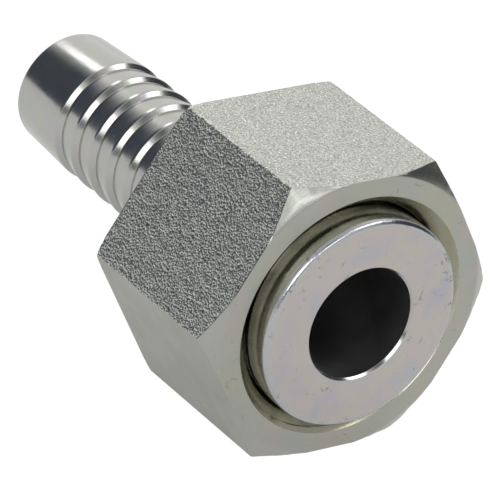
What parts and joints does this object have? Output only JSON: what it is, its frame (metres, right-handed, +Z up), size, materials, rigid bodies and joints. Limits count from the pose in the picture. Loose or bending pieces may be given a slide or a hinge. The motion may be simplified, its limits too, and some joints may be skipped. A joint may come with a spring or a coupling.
{
  "type": "face seal hose fitting",
  "caption": "Straight hydraulic hose end: flat face-seal head, loose hexagonal swivel nut with internal thread, and barbed hose tail, bored right through.",
  "frame": {"origin": "centre of the flat sealing face, where the flow bore meets it", "axes": "+Y along the bore from the sealing face to the hose tail, +Z up through one flat of the nut, which lies on the flat below"},
  "size_m": [0.0414, 0.0651, 0.036],
  "materials": {
    "turned_steel": "bright zinc plate over turned steel",
    "forged_steel": "zinc plate, grained flats and turned ends"
  },
  "bodies": {
    "stem": {"stem": "turned_steel"},
    "nut": {"nut": "forged_steel"}
  },
  "joints": [
    {"name": "nut_spin", "type": "hinge", "parent": "stem", "child": "nut", "pos_m": [0, 0.0262, 0], "axis": [0, -1, 0], "continuous": true}
  ]
}
